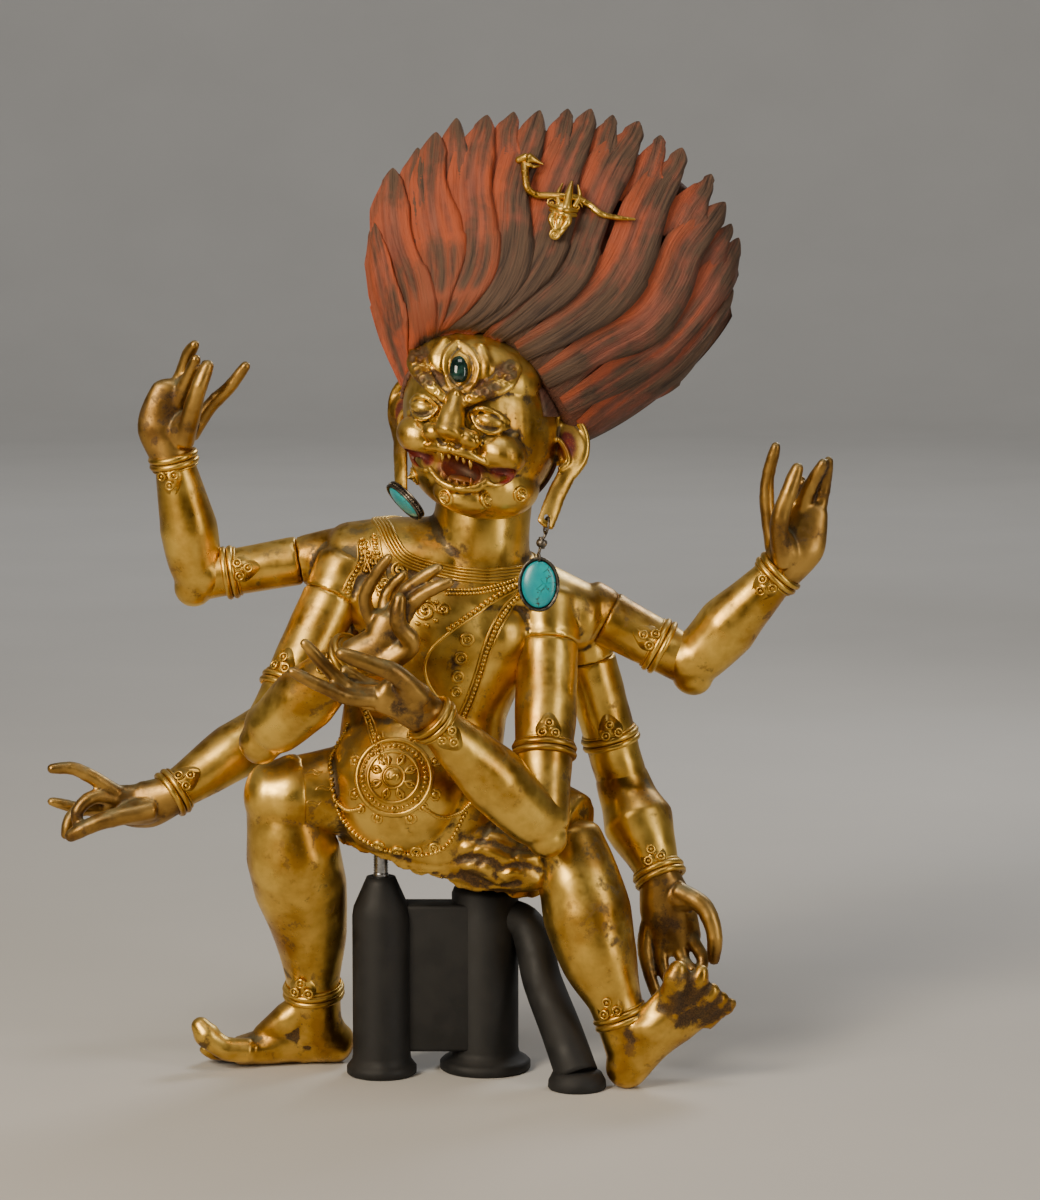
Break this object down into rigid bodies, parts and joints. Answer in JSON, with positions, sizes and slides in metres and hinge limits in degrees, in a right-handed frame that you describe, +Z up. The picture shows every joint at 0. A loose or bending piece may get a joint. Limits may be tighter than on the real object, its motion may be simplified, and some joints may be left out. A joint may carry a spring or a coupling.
{
  "type": "mahakala figure",
  "caption": "Six-armed wrathful deity in gilt copper, half kneeling, with flame hair and turquoise ear drops, on its black stand.",
  "frame": {"origin": "on the floor, at the middle of the underside of the stand, under the figure's neck", "axes": "+Z up, the figure faces -Y, its own left is +X"},
  "size_m": [0.5143, 0.1887, 0.6332],
  "materials": {
    "gilding": "fire gilding over copper, worn to brown patina in the hollows",
    "worn_gilding": "gilding rubbed down to dark patina and grey green dust",
    "painted_hair": "matt red paint with worn grey brown roots",
    "dark_silver": "tarnished silver",
    "turquoise": "polished turquoise with small dark pits",
    "dark_stone": "polished dark green stone",
    "black_paint": "matt black paint",
    "steel": "bare steel"
  },
  "bodies": {
    "root": {"torso": "gilding", "head": "gilding", "third_eye_stone": "dark_stone", "flame_hair": "painted_hair", "hair_snake": "gilding", "raised_right_upper_arm": "gilding", "raised_right_forearm": "gilding", "raised_right_hand": "worn_gilding", "main_right_upper_arm": "gilding", "main_right_forearm": "gilding", "main_right_hand": "worn_gilding", "low_right_upper_arm": "gilding", "low_right_forearm": "gilding", "low_right_hand": "worn_gilding", "raised_left_upper_arm": "gilding", "raised_left_forearm": "gilding", "raised_left_hand": "worn_gilding", "main_left_upper_arm": "gilding", "main_left_forearm": "gilding", "main_left_hand": "worn_gilding", "low_left_upper_arm": "gilding", "low_left_forearm": "gilding", "low_left_hand": "worn_gilding", "right_lower_leg": "gilding", "left_lower_leg": "gilding", "left_earring_drop": "dark_silver", "left_earring_setting": "dark_silver", "right_earring_setting": "dark_silver", "left_earring_turquoise": "turquoise", "right_earring_turquoise": "turquoise", "stand_body": "black_paint", "stand_pin": "steel"}
  },
  "joints": []
}
